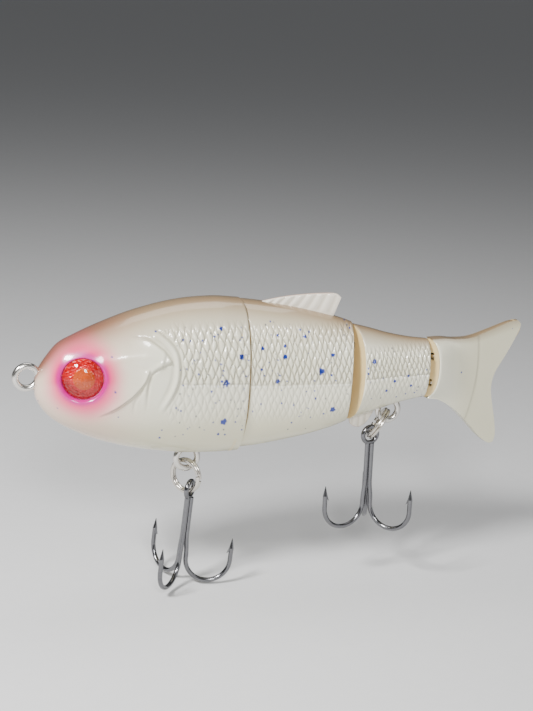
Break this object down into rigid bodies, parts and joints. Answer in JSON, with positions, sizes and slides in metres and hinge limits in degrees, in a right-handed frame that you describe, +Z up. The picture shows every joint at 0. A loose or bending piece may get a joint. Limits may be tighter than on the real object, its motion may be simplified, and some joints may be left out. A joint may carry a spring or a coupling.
{
  "type": "jointed swimbait",
  "caption": "Jointed hard fishing lure shaped like a small fish: pearl body in hinged sections, forked tail fin, 3-D eyes, line-tie ring and treble hooks on split rings.",
  "frame": {"origin": "centre of the line tie's ring at the nose", "axes": "+X from the nose towards the tail along the head, +Z up towards the back, +Y towards the lure's right flank"},
  "size_m": [0.134, 0.0283, 0.0758],
  "materials": {
    "body_paint": "pearl white lacquer over moulded ABS, shaded tan on the back, pink round the eyes, blue splatter dots; bare tan plastic in the joints",
    "fin_paint": "pearl white lacquer on ribbed plastic",
    "eye_foil": "printed red metallic foil",
    "eye_lens": "clear cast resin dome",
    "wire_steel": "bright stainless wire",
    "pin_steel": "drawn stainless pin",
    "ring_nickel": "nickel plated spring steel",
    "hook_nickel": "black nickel plated carbon steel",
    "ballast_metal": "plain cast metal, not seen"
  },
  "bodies": {
    "head": {"head_shell_left": "body_paint", "head_shell_right": "body_paint", "line_tie": "wire_steel", "eye_disc_left": "eye_foil", "eye_disc_right": "eye_foil", "eye_dome_left": "eye_lens", "eye_dome_right": "eye_lens", "front_hook_hanger": "wire_steel", "head_ballast": "ballast_metal", "head_hinge_loops": "wire_steel"},
    "mid": {"mid_shell_left": "body_paint", "mid_shell_right": "body_paint", "dorsal_fin": "fin_paint", "mid_ballast": "ballast_metal", "head_hinge_pin": "pin_steel", "mid_hinge_loops": "wire_steel"},
    "rear": {"rear_shell_left": "body_paint", "rear_shell_right": "body_paint", "anal_fin": "fin_paint", "rear_hook_hanger": "wire_steel", "mid_hinge_pin": "pin_steel", "tail_hinge_loops": "wire_steel"},
    "tail": {"tail": "body_paint", "tail_hinge_pin": "pin_steel"},
    "front_ring": {"front_split_ring": "ring_nickel"},
    "front_hook": {"front_treble_hook": "hook_nickel"},
    "rear_ring": {"rear_split_ring": "ring_nickel"},
    "rear_hook": {"rear_treble_hook": "hook_nickel"}
  },
  "joints": [
    {"name": "head_joint", "type": "hinge", "parent": "head", "child": "mid", "pos_m": [0.0555, 0, 0], "axis": [0, 0, 1], "range_deg": [-1.5, 26.5]},
    {"name": "mid_joint", "type": "hinge", "parent": "mid", "child": "rear", "pos_m": [0.08342, -0.00619, 0], "axis": [0, 0, 1], "range_deg": [-30, 10]},
    {"name": "tail_joint", "type": "hinge", "parent": "rear", "child": "tail", "pos_m": [0.1043, -0.0071, 0], "axis": [0, 0, 1], "range_deg": [-44.5, 23.5]},
    {"name": "front_ring_swing", "type": "hinge", "parent": "head", "child": "front_ring", "pos_m": [0.0408, 0, -0.02567], "axis": [1, 0, 0], "range_deg": [-30, 30]},
    {"name": "front_hook_swing", "type": "hinge", "parent": "front_ring", "child": "front_hook", "pos_m": [0.04174, -0.00135, -0.03137], "axis": [0.5736, -0.8192, 0], "range_deg": [-30, 30]},
    {"name": "rear_ring_swing", "type": "hinge", "parent": "rear", "child": "rear_ring", "pos_m": [0.09231, -0.00658, -0.01388], "axis": [0.999, -0.0436, 0], "range_deg": [-25, 25]},
    {"name": "rear_hook_swing", "type": "hinge", "parent": "rear_ring", "child": "rear_hook", "pos_m": [0.08767, -0.00658, -0.01801], "axis": [0.3106, 0.9272, -0.2095], "range_deg": [-25, 30]}
  ]
}
